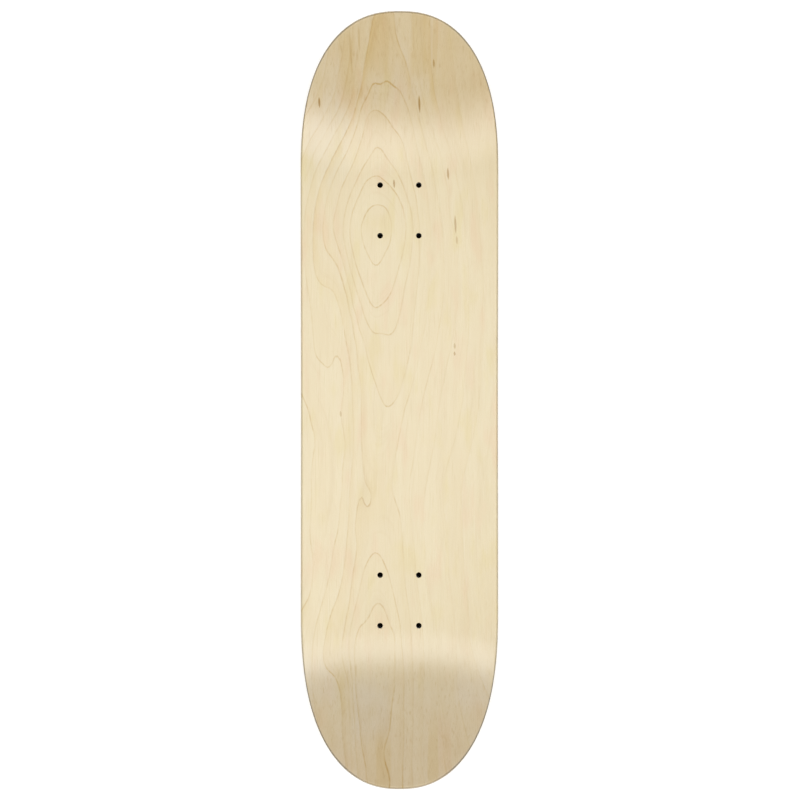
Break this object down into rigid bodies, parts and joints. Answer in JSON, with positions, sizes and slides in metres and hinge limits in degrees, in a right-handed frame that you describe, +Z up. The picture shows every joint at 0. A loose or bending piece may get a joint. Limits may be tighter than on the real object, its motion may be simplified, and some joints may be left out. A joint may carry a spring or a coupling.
{
  "type": "skateboard deck",
  "caption": "Bare laminated maple skateboard deck with a dished standing face, upturned nose and tail, rounded edges and drilled holes for bolt-on trucks.",
  "frame": {"origin": "on the ground under the middle of the deck's length and width; the flat strip of the underside lies on Z = 0", "axes": "+X across the board, to the right when the nose points away from the viewer; +Y along the board towards the nose; +Z up, out of the standing face"},
  "size_m": [0.2114, 0.8128, 0.058],
  "materials": {
    "top_face_maple": "satin",
    "bottom_face_maple": "satin",
    "core_maple": "satin",
    "cross_maple": "satin"
  },
  "bodies": {
    "root": {"top_face_veneer": "top_face_maple", "upper_core_veneer": "core_maple", "upper_cross_veneer": "cross_maple", "centre_core_veneer": "core_maple", "lower_cross_veneer": "cross_maple", "lower_core_veneer": "core_maple", "bottom_face_veneer": "bottom_face_maple"}
  },
  "joints": []
}
